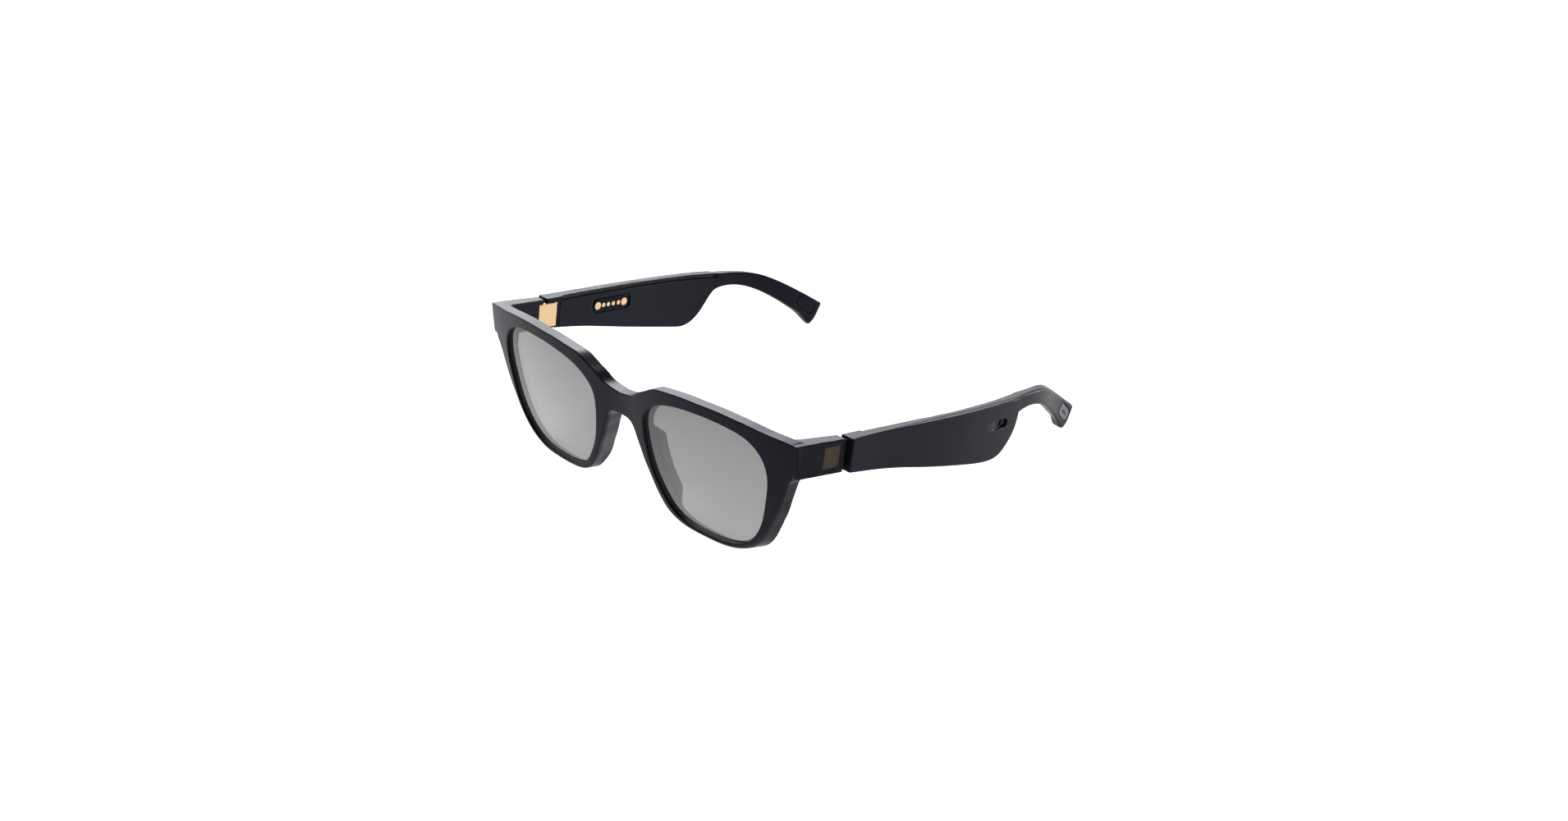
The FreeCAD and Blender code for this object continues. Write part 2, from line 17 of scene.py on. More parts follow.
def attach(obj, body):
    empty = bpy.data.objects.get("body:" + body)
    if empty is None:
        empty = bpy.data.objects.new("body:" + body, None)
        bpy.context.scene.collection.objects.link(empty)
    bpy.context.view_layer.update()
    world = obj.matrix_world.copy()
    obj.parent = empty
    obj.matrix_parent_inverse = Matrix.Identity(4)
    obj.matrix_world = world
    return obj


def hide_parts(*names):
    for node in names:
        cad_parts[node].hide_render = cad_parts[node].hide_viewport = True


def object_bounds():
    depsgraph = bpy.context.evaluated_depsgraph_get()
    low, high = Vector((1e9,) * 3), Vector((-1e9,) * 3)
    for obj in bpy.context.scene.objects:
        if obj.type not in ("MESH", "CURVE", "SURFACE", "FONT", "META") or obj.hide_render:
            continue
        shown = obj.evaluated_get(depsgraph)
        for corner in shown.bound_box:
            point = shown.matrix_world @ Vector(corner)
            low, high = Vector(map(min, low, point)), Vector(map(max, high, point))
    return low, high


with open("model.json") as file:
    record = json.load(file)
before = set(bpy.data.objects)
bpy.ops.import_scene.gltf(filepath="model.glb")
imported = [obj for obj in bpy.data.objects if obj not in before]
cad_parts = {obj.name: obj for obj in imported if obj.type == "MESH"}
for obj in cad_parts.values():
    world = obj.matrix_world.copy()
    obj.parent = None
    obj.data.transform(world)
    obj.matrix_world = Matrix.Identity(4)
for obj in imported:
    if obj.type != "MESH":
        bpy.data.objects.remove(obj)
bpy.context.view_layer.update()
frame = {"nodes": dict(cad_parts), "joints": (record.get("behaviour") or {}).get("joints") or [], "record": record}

# How fine the meshes are, in millimetres
FRAME_STEP = 0.36
TEMPLE_STEP = 0.3
SMALL_STEP = 0.2
MARK_STEP = 0.12
MESH_STEP = 0.25

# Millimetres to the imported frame's metres
MM = 0.001

# Front. A pair that a ramp uses says where something starts and where it is full.
FRONT_RADIUS = 172.7
CROWN_X = 24.0
CROWN_Y = -3.6
BRIDGE_BLEND_X = 7.0
FACE_HEIGHT = 20.0
PANTOSCOPIC_SLOPE = 0.25
FACE_SAG = 0.75  # how far the face's top and bottom curve back, 20 mm from its middle
FRONT_THICKNESS = 4.8
FRONT_EDGE_R = 0.4
OUTER_RIM_X = (40, 56)
CORNER_EXTRA_R = 0.8  # how much rounder the outer halves of the rims are than the brow
CORNER_Z = (-11, -16)
CORNER_DEPTH = (3.5, 1.5)
FLARE = 0.35  # how much wider the rims are at the back than at the front
OUTER_FLARE = 1.1  # what the flare gains towards the outer lower corners
FLARE_Z = (-8, -14)
FLARE_X = (14, 22)
OUTER_FLARE_Z = (-12, -36)
OUTER_FLARE_END_Z = (-43.5, -37)
OPENING_EDGE_R = 0.35
LENS_RECESS = 1.25
LENS_THICKNESS = 1.8
LENS_GROOVE = 0.5
LENS_GAP = 0.1
LENS_BEVEL = 0.25
LENS_EDGE_GAP = 0.06
PAD_EXTRA = 3.6  # how far the nose pads stand behind the rims
PAD_SPLAY = 0.22
PAD_SPLAY_DEPTH = 1.5
PAD_TOP_Z = (-13.6, -17.5)
PAD_FOOT_Z = (-40.5, -33.0)
PAD_X = (25, 19)
ENDPIECE_START_X = 70.4
ENDPIECE_FACE_X = 72.8
ENDPIECE_SPREAD = 0.8
ENDPIECE_Y = (0.5, 18.9)
ENDPIECE_INNER_XY = (67.6, 3.8)
ENDPIECE_INNER_SPREAD = 0.119
ENDPIECE_DEPTH = 2.1  # how far behind the front face the endpiece's own thickness starts
ENDPIECE_FILLET = 2.0
ENDPIECE_Z = (-9.85, 0.75)
ENDPIECE_TAPER = (0.045, 0.05)  # how the lower and upper edges fall with y
WINDOW_THICKNESS = 0.3
WINDOW_START_Y = 1.2
WINDOW_OVERLAP = 0.08
POCKET_END_X = 76
POCKET_GAP = 0.05

# Hinge
HINGE = (70.5, 23.9, -6.0)
KNUCKLE_R = 1.2
KNUCKLE_Z = (-10.2, -1.8)
PIN_HOLE_R = 0.65
PIN_HOLE_TOP_Z = -1.0
BLOCK_FRONT_Y = 16.7
ANCHOR_LOW = (71.0, 10.9, -9.1)
ANCHOR_HIGH = (72.6, 18.1, -1.9)
SHROUD_LOW = (71.9, 18.6, -9.3)
SHROUD_HIGH = (72.9, 20.2, -0.9)

# Temple
TEMPLE_START_Y = 20.5
COVER_Y = (26.4, 100.5)
COVER_THICKNESS = 0.8
CHANNEL_HEIGHT = 1.5
CHANNEL_Y = (28.0, 101.5)
MESH_END_Y = 99.5
SLOT_Y = (84.5, 91.7)
SLOT_Z = -7.8
SLOT_R = 1.5
SLOT_DEPTH = 1.2
PORT_DEPTH = 2.0
TEMPLE_EDGE_R = 0.35
ARM_EXTRA_R = 0.6  # how much rounder the arm's edges are than the housing's top edges
ARM_ROUND_Y = (95, 112)
HOUSING_EDGE_R = 0.3
HOUSING_EXTRA_R = 0.4  # how much rounder the housing's lower and rear edges are
HOUSING_LOWER = (3, 8)  # below the temple's top line
HOUSING_REAR_Y = (95, 98)
ARM_LAYER = 1.0  # how far the housing's outer layer reaches inside the arm's outer face
# How far the arm's edges move for each millimetre inward
ARM_TOP_LEAN = 0.22
ARM_LEAN_Y = (108, 124)
TIP_SKEW = 0.75
TIP_SKEW_Y = (138, 146)
TIP_RISE = 0.35
TIP_RISE_Y = (132, 144)
TIP_BADGE_YZ = (143.9, -17.9)
TIP_PLUG_YZ = (140.8, -15.2)
TIP_PLATE_SIZE = (8.6, 4.2)
TIP_PLATE_CORNER = 1.8
TIP_PLATE_DEPTH = 0.6
TIP_SLOPE = math.radians(-36)
TIP_MARK_SIZE = (3.8, 1.0)
BAY_CENTRE = (71.27, 50.6, -6.1)
BAY_TOE = math.radians(-2.1)
BAY_SIZE = (18.0, 5.8)
BAY_DEPTH = 1.2
BUTTON_CENTRE = (73.1, 45.5, -14.0)
BUTTON_SLOPE = math.radians(9.3)
BUTTON_SIZE = (9.0, 1.8)
BUTTON_POCKET_TOP = 2.2

# Outlines of the front, seen from ahead: the half with positive x, over the top and back underneath
TOP_OUTLINE = [
    (0, -6.2), (4.4, -5.6), (7.2, -4.7), (9.7, -3.0), (12.5, -1.6), (15.4, 0.0), (18.4, 1.3),
    (21.6, 1.9), (25, 2.3), (30, 2.8), (36, 3.0), (44, 3.1), (50, 2.8), (56, 2.3), (62, 1.6),
    (67, 1.2), (72.5, 0.6), (80, 0.2),
]
LOWER_OUTLINE = [
    (80, -11.6), (76, -11.4), (72, -11.2), (70.2, -11.2), (69.3, -12.4), (68, -15.7), (66.5, -19.4),
    (65, -23.1), (63.1, -26.7), (61.2, -30.2), (59, -34), (56.2, -37.6), (52.0, -40.8), (46, -42.8),
    (37, -43.3), (28.7, -43.1), (23.4, -42.2), (19, -39.9), (16.4, -36.9), (14.4, -33.7),
    (12.9, -30.7), (11.4, -27.8), (10, -24.9), (8.8, -21.9), (7.5, -19), (6.4, -16.4), (4.6, -14.5),
    (2.4, -13.9), (0, -13.8),
]
LENS_OPENING = [
    (62.2, -12), (60.4, -6.6), (56, -2.8), (49.5, -1.1), (42.5, -0.6), (36, -0.7), (29.5, -1.3),
    (23, -2.6), (16.6, -5.4), (12.6, -9.6), (11.7, -15), (12.3, -20.5), (14, -27.5), (17.3, -33.9),
    (22, -39.3), (29, -41.8), (36, -42.2), (43, -41.9), (50, -39.8), (55.7, -35.1), (59.5, -27.9),
    (61.4, -20),
]
LENS_CENTRE = (37.0, -20.0)

# Curves of the temple, as (y, x) seen from above and (y, z) seen from the side
HOUSING_X = [(20, 74.2), (32, 74.9), (46, 75.8), (62, 76.6), (72, 76.8), (84, 76.5), (94, 75.9), (103, 75.0)]
ARM_X = [
    (60, 75.0), (80, 75.3), (92, 74.8), (100.6, 74.2), (106, 73.6), (111.5, 72.8), (117, 71.6),
    (123, 69.8), (129, 67.6), (135, 65.5), (141, 63.9), (152, 62.3),
]
INNER_X = [
    (20, 69.7), (30, 70.3), (44, 71.0), (60, 71.6), (74, 71.8), (86, 71.6), (97, 70.9), (105, 70.0),
    (112, 68.9), (118.5, 67.3), (125, 65.2), (131, 63.0), (137, 61.2), (143, 59.7), (152, 58.5),
]
RAIL_X = [
    (26, 71.0), (30, 71.15), (38, 71.7), (46, 72.15), (54, 72.6), (62, 73.0), (70, 73.2), (78, 73.1),
    (86, 72.8), (94, 72.0), (102, 70.9), (110, 69.2), (118, 66.8), (152, 56),
]
TOP_Z = [
    (18, -0.2), (46, -0.2), (70, -0.5), (95, -0.7), (104, -0.9), (111, -1.2), (117, -2.1),
    (123, -3.8), (130, -6.6), (137, -9.9), (144, -13.5), (153, -18.2),
]
BELLY = [(15, -10.1), (20.5, -10.8), (37, -12.7), (55, -15.7), (74, -18.6), (82, -19.7), (87, -19.9)]
TEMPLE_BOTTOM = BELLY + [
    (91, -18.4), (94.5, -15.2), (97.7, -10.6), (100.6, -7.3), (104.6, -6.2), (109, -6.1), (114, -6.8),
    (119, -8.3), (125, -10.9), (130, -13.6), (135, -16.7), (140, -20.4), (143.6, -23.5),
    (145.6, -24.5), (147.5, -23.6), (150, -19.4), (151, -17), (151.6, -14), (151.6, -8), (151.6, 8),
]
HOUSING_BOTTOM = BELLY + [
    (91.8, -18.9), (95.7, -15.9), (98.4, -12.5), (99.8, -8.5), (100.2, -4.5), (100.2, 1), (100.2, 8),
]

# The lowest and highest corners of the tables that hold the outlines' distances
FRONT_TABLE = ((-3, -47), (78, 7))
TEMPLE_TABLE = ((14, -28), (156, 6))

# The boxes in which each piece's surface is looked for
FRONT_BOX = ((-74.5, -10.5, -45), (74.5, 20, 4.4))
SHROUD_BOX = ((71, 18, -10), (73.5, 21, 0))
WINDOW_BOX = ((71, 0.5, -12), (74.5, 20, 1.5))
LEAF_BOX = ((68.5, 10, -11), (73.5, 26, -1))
TEMPLE_BOX = ((57, 20, -25.5), (78, 152, 0.6))
COVER_BOX = ((68, 26, -21), (74, 101.5, -1))
MESH_BOX = ((68, 27, -3.5), (75, 101, 0.5))
TIP_BOX = ((57, 135, -24), (66, 150, -9))
MARK_BOX = ((61, 140, -21), (65, 147, -15))

# Colours
LENS_TOP = (0.095, 0.101, 0.099)
LENS_BOTTOM = (0.275, 0.286, 0.281)
LENS_HEIGHTS = (0.003, 0.047)  # metres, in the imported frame
NAVY = (0.0075, 0.0078, 0.0125)
SHEEN = {"Specular_IOR_Level": 0.1, "Specular_Tint": (0.7, 0.74, 1.0, 1.0)}

# Light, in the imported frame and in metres
FLOOR_SIZE = 8
FLOOR_GAP = 0.00002
FLOOR_GLOW = 0.98
BRIGHT_SIDE = (-0.9, 0.45, 0.4)
SKY_EDGE = (0.62, 0.97)
SKY_STRENGTH = (0.2, 3.6)
SKY_COLOUR = (0.97, 0.98, 1, 1)

# Camera, in the wearing frame and in millimetres
CAMERA_POSITION = Vector((379.6, -341.7, 179.6))
CAMERA_RIGHT = Vector((0.70099, 0.70363, 0.11627))
CAMERA_LOOK = Vector((-0.63598, 0.69052, -0.34454))
CAMERA_SENSOR = 36.0
CAMERA_LENS = 40.02


# Curves


def spline(points, per_span=24):
    """Points along a smooth curve through the given points, with chord-length parameters."""
    knots = np.array(points, dtype=float)
    steps = np.hypot(*(knots[1:] - knots[:-1]).T)
    count = len(knots)
    system = np.eye(count)
    right = np.zeros((count, 2))
    for i in range(1, count - 1):
        system[i, i - 1 : i + 2] = steps[i - 1], 2 * (steps[i - 1] + steps[i]), steps[i]
        rise, last = (knots[i + 1] - knots[i]) / steps[i], (knots[i] - knots[i - 1]) / steps[i - 1]
        right[i] = 6 * (rise - last)
    bend = np.linalg.solve(system, right)
    part = np.linspace(0, 1, per_span, endpoint=False)[:, None]
    curve = []
    for i, step in enumerate(steps):
        rest = 1 - part
        sag = (rest**3 - rest) * bend[i] + (part**3 - part) * bend[i + 1]
        curve.append(rest * knots[i] + part * knots[i + 1] + sag * step**2 / 6)
    curve.append(knots[-1:])
    return np.concatenate(curve)


def closed_spline(points, per_span=24):
    """The same for a closed curve: points are repeated at both ends, and their spans are dropped."""
    wrapped = points[-3:] + points + points[:4]
    curve = spline(wrapped, per_span)
    return curve[3 * per_span : (3 + len(points)) * per_span]


def mirrored_loop(half):
    """A closed loop from its half with positive x, which starts and ends at x = 0."""
    other = half[::-1][1:-1] * (-1, 1)
    return np.concatenate([half, other])


class Profile:
    """A smooth function of y through the given points, and the cosine of its slope."""

    def __init__(self, points):
        self.at, self.value = spline(points).T
        self.cosine = 1 / np.hypot(1, np.gradient(self.value, self.at))

    def __call__(self, y):
        return np.interp(y, self.at, self.value)

    def across(self, x, y):
        """The distance from the curve to x, measured square to the curve."""
        return (x - self(y)) * np.interp(y, self.at, self.cosine)


class Outline:
    """Signed distance to a closed loop, tabulated once and read back with cubic interpolation."""

    def __init__(self, loop, low, high, step=0.4):
        self.low, self.step = low, step
        u = np.arange(low[0], high[0] + step, step)[:, None]
        v = np.arange(low[1], high[1] + step, step)[None, :]
        nearest = np.full((u.size, v.size), np.inf)
        inside = np.zeros(nearest.shape, dtype=bool)
        for (u0, v0), (u1, v1) in zip(loop, np.roll(loop, -1, axis=0)):
            du, dv = u1 - u0, v1 - v0
            along = np.clip(((u - u0) * du + (v - v0) * dv) / (du * du + dv * dv + 1e-12), 0, 1)
            nearest = np.minimum(nearest, (u - u0 - along * du) ** 2 + (v - v0 - along * dv) ** 2)
            if v0 != v1:
                crossing = u0 + (v - v0) * du / dv
                inside ^= ((v0 > v) != (v1 > v)) & (u < crossing)
        self.table = np.where(inside, -1, 1) * np.sqrt(nearest)

    def __call__(self, u, v):
        row, row_weights = self._cell(u, self.low[0], self.table.shape[0])
        column, column_weights = self._cell(v, self.low[1], self.table.shape[1])
        total = 0
        for i in range(4):
            for j in range(4):
                total = total + row_weights[i] * column_weights[j] * self.table[row + i, column + j]
        return total

    def _cell(self, position, low, count):
        place = np.clip((position - low) / self.step, 1, count - 3.001)
        cell = np.floor(place).astype(int)
        t = place - cell
        weights = (
            ((-0.5 * t + 1) * t - 0.5) * t,
            (1.5 * t - 2.5) * t * t + 1,
            ((-1.5 * t + 2) * t + 0.5) * t,
            (0.5 * t - 0.5) * t * t,
        )
        return cell - 1, weights


# Combining fields


def meet(a, b, radius):
    """The intersection of two fields, with a rounded edge."""
    rounded = np.hypot(np.maximum(a + radius, 0), np.maximum(b + radius, 0))
    return np.minimum(np.maximum(a, b), -radius) + rounded


def join(a, b, radius):
    """The union of two fields, with a fillet."""
    return -meet(-a, -b, radius)


def largest(*fields):
    """The intersection of any number of fields, with sharp edges."""
    result = fields[0]
    for field in fields[1:]:
        result = np.maximum(result, field)
    return result


def ramp(value, start, end):
    """0 at start and 1 at end, with a smooth rise between them."""
    t = np.clip((value - start) / (end - start), 0, 1)
    return t * t * (3 - 2 * t)


def rounded_box(x, y, z, low, high, radius):
    """The signed distance to a box with rounded edges."""
    sides = []
    for value, a, b in zip((x, y, z), low, high):
        sides.append(np.abs(value - (a + b) / 2) - (b - a) / 2 + radius)
    outside = np.sqrt(sum(np.maximum(side, 0) ** 2 for side in sides))
    return outside + np.minimum(largest(*sides), 0) - radius


def rounded_rectangle(u, v, size, radius):
    """The signed distance to a rounded rectangle around the origin."""
    a = np.abs(u) - size[0] / 2 + radius
    b = np.abs(v) - size[1] / 2 + radius
    return np.hypot(np.maximum(a, 0), np.maximum(b, 0)) + np.minimum(np.maximum(a, b), 0) - radius


# The front's fields

frame_half = np.concatenate([spline(TOP_OUTLINE), spline(LOWER_OUTLINE)])
frame_outline = Outline(mirrored_loop(frame_half), *FRONT_TABLE)
opening_loop = closed_spline(LENS_OPENING)
opening_outline = Outline(opening_loop, *FRONT_TABLE)


def front_face(x, z):
    """How far back the front face is at x and z."""
    across = np.abs(x)
    fall = FRONT_RADIUS - np.sqrt(FRONT_RADIUS**2 - (across - CROWN_X) ** 2)
    reach = CROWN_X - BRIDGE_BLEND_X
    flat = math.sqrt(FRONT_RADIUS**2 - reach**2)
    hollow = reach / flat * (BRIDGE_BLEND_X**2 - across**2) / (2 * BRIDGE_BLEND_X)
    fall = np.where(across < BRIDGE_BLEND_X, FRONT_RADIUS - flat + hollow, fall)
    up = z + FACE_HEIGHT
    return CROWN_Y + fall - PANTOSCOPIC_SLOPE * up + FACE_SAG * (up / 20) ** 2


def endpiece_face(y):
    """The x of the endpieces' outer faces, which spread a little towards the hinges."""
    start, end = ENDPIECE_Y
    return ENDPIECE_FACE_X + ENDPIECE_SPREAD * (y - start) / (end - start)


def whole_front(x, y, z):
    """The front in one solid piece, with its lens openings, its nose pads and its endpieces."""
    x = np.abs(x)
    depth = (y - front_face(x, z)) / math.hypot(1, PANTOSCOPIC_SLOPE)
    pad = ramp(z, *PAD_TOP_Z) * ramp(z, *PAD_FOOT_Z) * ramp(x, *PAD_X)
    thickness = FRONT_THICKNESS + PAD_EXTRA * pad
    back = np.clip(depth / FRONT_THICKNESS, 0, 1)
    outer = ramp(x, *OUTER_RIM_X)
    flare = FLARE + OUTER_FLARE * outer * ramp(z, *OUTER_FLARE_Z) * ramp(z, *OUTER_FLARE_END_Z)
    outline = frame_outline(x, z) - flare * ramp(z, *FLARE_Z) * ramp(x, *FLARE_X) * back
    outline = outline + PAD_SPLAY * pad * np.maximum(depth - PAD_SPLAY_DEPTH, 0)
    inner_x = ENDPIECE_INNER_XY[0] + (y - ENDPIECE_INNER_XY[1]) * ENDPIECE_INNER_SPREAD
    end_band = np.maximum(inner_x - x, ENDPIECE_DEPTH - depth)
    plan = join(np.maximum(-depth, depth - thickness), end_band, ENDPIECE_FILLET)
    under_top = z - ENDPIECE_Z[1] + ENDPIECE_TAPER[1] * y
    over_bottom = ENDPIECE_Z[0] - ENDPIECE_TAPER[0] * y - z
    end_height = np.maximum(under_top, over_bottom)
    not_end = np.maximum(depth - thickness + 0.3, x - ENDPIECE_START_X)
    height = meet(outline, join(end_height, not_end, 0.8), 0.3)
    corner = outer * ramp(z, *CORNER_Z) * ramp(depth, *CORNER_DEPTH)
    body = meet(plan, height, FRONT_EDGE_R + CORNER_EXTRA_R * corner)
    body = meet(body, x - endpiece_face(y), FRONT_EDGE_R)
    body = meet(body, y - ENDPIECE_Y[1], FRONT_EDGE_R)
    opening = opening_outline(x, z)
    rear_opening = opening + PAD_SPLAY * pad * np.maximum(depth - LENS_RECESS - LENS_THICKNESS, 0)
    body = meet(body, -rear_opening, OPENING_EDGE_R)
    groove_start = LENS_RECESS - LENS_GAP - depth
    groove_end = depth - LENS_RECESS - LENS_THICKNESS - LENS_GAP
    groove = largest(opening - LENS_GROOVE, groove_start, groove_end)
    return np.maximum(body, -groove)


def window_region(x, y, overlap=0.0):
    """The outer layer of each endpiece, which the smoky skin fills."""
    inner = endpiece_face(y) - WINDOW_THICKNESS
    return np.maximum(inner + overlap - np.abs(x), WINDOW_START_Y + overlap - y)


def hinge_block(x, y, z):
    """The leaf that joins the endpiece to the pin, and the anchor that shows through the skin."""
    low = (HINGE[0] - KNUCKLE_R, BLOCK_FRONT_Y, KNUCKLE_Z[0] - 0.1)
    high = (HINGE[0] + KNUCKLE_R, HINGE[1] + KNUCKLE_R, KNUCKLE_Z[1] + 0.1)
    barrel = np.minimum(np.hypot(x - HINGE[0], y - HINGE[1]) - KNUCKLE_R, y - HINGE[1])
    leaf = meet(rounded_box(x, y, z, low, high, 0.4), barrel, 0.2)
    return np.minimum(leaf, rounded_box(x, y, z, ANCHOR_LOW, ANCHOR_HIGH, 0.3))


def frame_field(x, y, z):
    """The front without the smoky skin over each endpiece. A pocket shows the hinge's anchor."""
    body = np.maximum(whole_front(x, y, z), -window_region(x, y, WINDOW_OVERLAP))
    pocket = rounded_box(np.abs(x), y, z, ANCHOR_LOW, (POCKET_END_X, *ANCHOR_HIGH[1:]), 0.3)
    return np.maximum(body, POCKET_GAP - np.minimum(hinge_block(np.abs(x), y, z), pocket))


def shroud_field(x, y, z):
    """A dark tongue behind the endpiece, which closes the gap in front of the temple."""
    return rounded_box(x, y, z, SHROUD_LOW, SHROUD_HIGH, 0.2)


def window_field(x, y, z):
    """The smoky skin over an endpiece."""
    return np.maximum(whole_front(x, y, z), window_region(x, y))


# The temple's fields

housing_x = Profile(HOUSING_X)
arm_x = Profile(ARM_X)
inner_face_x = Profile(INNER_X)
rail_x = Profile(RAIL_X)
top_z = Profile(TOP_Z)


def side_outline(bottom):
    """A closed loop from a temple's lower edge, closed far above its top edge."""
    return Outline(np.concatenate([spline(bottom), [(15, 8)]]), *TEMPLE_TABLE)


temple_outline = side_outline(TEMPLE_BOTTOM)
housing_outline = side_outline(HOUSING_BOTTOM)


def temple_core(x, y, z):
    """The temple up to the arm's outer face. The arm's top leans and its end is cut at a slant."""
    edge = TEMPLE_EDGE_R + ARM_EXTRA_R * ramp(y, *ARM_ROUND_Y)
    inward = np.clip(arm_x(y) - x, 0, 5)
    lift = ARM_TOP_LEAN * inward * ramp(y, *ARM_LEAN_Y)
    skew = TIP_SKEW * inward * ramp(y, *TIP_SKEW_Y)
    rise = TIP_RISE * inward * ramp(y, *TIP_RISE_Y)
    side = meet(top_z.across(z - lift, y), temple_outline(y + skew, z - rise), edge)
    return meet(side, np.maximum(-inner_face_x.across(x, y), arm_x.across(x, y)), edge)


def whole_temple(x, y, z):
    """The temple, with the housing's thicker outer layer added to its core."""
    softer = np.maximum(ramp(top_z(y) - z, *HOUSING_LOWER), ramp(y, *HOUSING_REAR_Y))
    side = meet(top_z.across(z, y), housing_outline(y, z), HOUSING_EDGE_R)
    layer = meet(side, housing_x.across(x, y), HOUSING_EDGE_R + HOUSING_EXTRA_R * softer)
    layer = np.maximum(layer, arm_x(y) - ARM_LAYER - x)
    body = join(temple_core(x, y, z), layer, TEMPLE_EDGE_R)
    return meet(body, TEMPLE_START_Y - y, TEMPLE_EDGE_R)


def cover_region(x, y, z, gap=0.0):
    """The inner layer of the housing, up to the sound channel."""
    under = z - top_z(y) + CHANNEL_HEIGHT
    ends = np.maximum(COVER_Y[0] - y, y - COVER_Y[1])
    return largest(under, ends, inner_face_x.across(x, y) - COVER_THICKNESS) - gap


def bay_place(x, y, z):
    """Depth into the temple and the two positions across the contact bay."""
    dx, dy = x - BAY_CENTRE[0], y - BAY_CENTRE[1]
    depth = dx * math.cos(BAY_TOE) + dy * math.sin(BAY_TOE)
    along = -dx * math.sin(BAY_TOE) + dy * math.cos(BAY_TOE)
    return depth, along, z - BAY_CENTRE[2]


def bay_opening(x, y, z):
    """The outline of the bay that the contact carrier sits in."""
    _, along, up = bay_place(x, y, z)
    return rounded_rectangle(along, up, BAY_SIZE, 2.0)


def tip_rectangle(y, z, centre, size=TIP_PLATE_SIZE, corner=TIP_PLATE_CORNER):
    """A rounded rectangle that lies along the tip."""
    dy, dz = y - centre[0], z - centre[1]
    along = dy * math.cos(TIP_SLOPE) + dz * math.sin(TIP_SLOPE)
    up = -dy * math.sin(TIP_SLOPE) + dz * math.cos(TIP_SLOPE)
    return rounded_rectangle(along, up, size, corner)


def port_cut(x, y, z):
    """The scooped slot on the outer face, which starts level with it and ends in a round hole."""
    slot = np.hypot(y - np.clip(y, *SLOT_Y), z - SLOT_Z) - SLOT_R
    floor = housing_x(y) - SLOT_DEPTH * ramp(y, SLOT_Y[0] - 1.5, SLOT_Y[1])
    hole = np.hypot(y - SLOT_Y[1], z - SLOT_Z) - SLOT_R + 0.25
    return np.minimum(meet(slot, floor - x, 0.3), np.maximum(hole, housing_x(y) - PORT_DEPTH - x))


def button_cut(x, y, z):
    """The pocket for the control button in the housing's underside."""
    dy, dz = y - BUTTON_CENTRE[1], z - BUTTON_CENTRE[2]
    along = dy * math.cos(BUTTON_SLOPE) - dz * math.sin(BUTTON_SLOPE)
    up = dy * math.sin(BUTTON_SLOPE) + dz * math.cos(BUTTON_SLOPE)
    size = [length + 0.3 for length in BUTTON_SIZE]
    outline = rounded_rectangle(along, x - BUTTON_CENTRE[0], size, size[1] / 2 - 0.01)
    return np.maximum(outline, up - BUTTON_POCKET_TOP)


def knuckle_cut(x, y, z):
    """The room for the leaf between the temple's two ears, and the hole for the pin."""
    reach = KNUCKLE_R + 0.35
    from_axis = np.hypot(x - HINGE[0], y - HINGE[1])
    straight = np.maximum(x - HINGE[0] - reach, y - HINGE[1])
    height = np.maximum(KNUCKLE_Z[0] - 0.15 - z, z - KNUCKLE_Z[1] - 0.15)
    pin = np.maximum(from_axis - PIN_HOLE_R, z - PIN_HOLE_TOP_Z)
    return np.minimum(np.maximum(np.minimum(from_axis - reach, straight), height), pin)


def tip_pockets(x, y, z):
    """The badge's place on the tip's outer face, and the plug's place on its inner face."""
    depth = TIP_PLATE_DEPTH + 0.1
    badge = np.maximum(tip_rectangle(y, z, TIP_BADGE_YZ), arm_x(y) - depth - x)
    plug = np.maximum(tip_rectangle(y, z, TIP_PLUG_YZ), x - inner_face_x(y) - depth)
    return np.minimum(badge, plug)


def shell_field(x, y, z):
    """A temple shell, without its cover, its channel, its slot and the places for its tip plates."""
    above = top_z(y) - CHANNEL_HEIGHT - z
    channel = largest(rail_x.across(x, y), above, CHANNEL_Y[0] - y, y - CHANNEL_Y[1])
    body = meet(whole_temple(x, y, z), -channel, 0.15)
    body = np.maximum(body, -cover_region(x, y, z, 0.03))
    body = np.maximum(body, -knuckle_cut(x, y, z))
    body = meet(body, -port_cut(x, y, z), 0.25)
    return meet(body, 0.25 - tip_pockets(x, y, z), 0.2)


def right_shell_field(x, y, z):
    """The shell with the contact bay and the button's pocket."""
    depth, _, _ = bay_place(x, y, z)
    bay = np.maximum(bay_opening(x, y, z), depth - BAY_DEPTH)
    return largest(shell_field(x, y, z), -bay, -button_cut(x, y, z))


def cover_field(x, y, z):
    """The inner cover of a housing."""
    return meet(temple_core(x, y, z), cover_region(x, y, z), 0.12)


def right_cover_field(x, y, z):
    """The cover with the opening over the contact bay."""
    return meet(cover_field(x, y, z), -bay_opening(x, y, z), 0.3)


def badge_field(x, y, z):
    """The plate on the outer face of a tip."""
    layer = np.maximum(temple_core(x, y, z), arm_x(y) - TIP_PLATE_DEPTH - x)
    return meet(layer, tip_rectangle(y, z, TIP_BADGE_YZ), 0.15)


def plug_field(x, y, z):
    """The plate on the inner face of a tip."""
    layer = np.maximum(temple_core(x, y, z), x - inner_face_x(y) - TIP_PLATE_DEPTH)
    return meet(layer, tip_rectangle(y, z, TIP_PLUG_YZ), 0.15)


def mark_field(x, y, z):
    """The plain bar on a tip's badge."""
    bar = tip_rectangle(y, z, TIP_BADGE_YZ, TIP_MARK_SIZE, 0.3)
    return meet(np.maximum(temple_core(x, y, z) - 0.05, arm_x(y) - 0.3 - x), bar, 0.08)


def channel_mesh_field(x, y, z):
    """The strip of mesh at the bottom of the sound channel."""
    across = np.maximum(rail_x.across(x, y) - 0.12, -rail_x.across(x, y) - 0.22)
    height = np.maximum(z - top_z(y) + 0.3, top_z(y) - CHANNEL_HEIGHT + 0.02 - z)
    inside = inner_face_x.across(x, y)
    return largest(across, height, CHANNEL_Y[0] + 0.3 - y, y - MESH_END_Y, -inside)


# From fields to meshes

